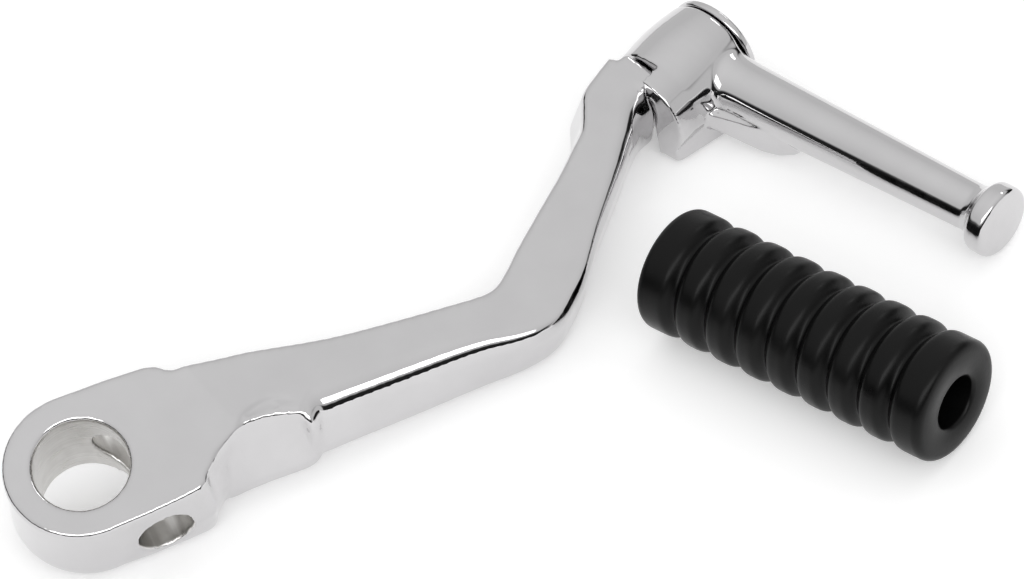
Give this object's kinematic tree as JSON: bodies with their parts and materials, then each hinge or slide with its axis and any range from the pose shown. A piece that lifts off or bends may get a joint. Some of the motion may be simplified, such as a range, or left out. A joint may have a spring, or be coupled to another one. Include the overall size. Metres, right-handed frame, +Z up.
{
  "type": "kick start lever",
  "caption": "Chromed kick start lever: cranked arm with a cross-bolted shaft hub and a folding foot pedal, and the ribbed rubber sleeve that slips on the pedal.",
  "frame": {"origin": "middle of the shaft bore, halfway through the hub", "axes": "+Z straight up from the bench that the lever lies on, +X level from the shaft bore towards the pedal's pivot; the folded pedal points towards -Y"},
  "size_m": [0.1624, 0.1091, 0.0241],
  "materials": {
    "arm_chrome": "polished and chrome plated",
    "pedal_chrome": "polished and chrome plated",
    "pin_chrome": "plated head, turned shank",
    "inner_steel": "bright steel",
    "black_rubber": "satin moulded rubber"
  },
  "bodies": {
    "arm": {"lever_arm": "arm_chrome", "pivot_pin": "pin_chrome", "detent_ball": "inner_steel", "detent_spring": "inner_steel", "pedal_rubber": "black_rubber"},
    "folding_pedal": {"pedal": "pedal_chrome"}
  },
  "joints": [
    {"name": "pedal_pivot", "type": "hinge", "parent": "arm", "child": "folding_pedal", "pos_m": [0.13589, -0.00252, -0.00243], "axis": [0.9906, 0.1367, -0.0113], "range_deg": [0, 104]}
  ]
}
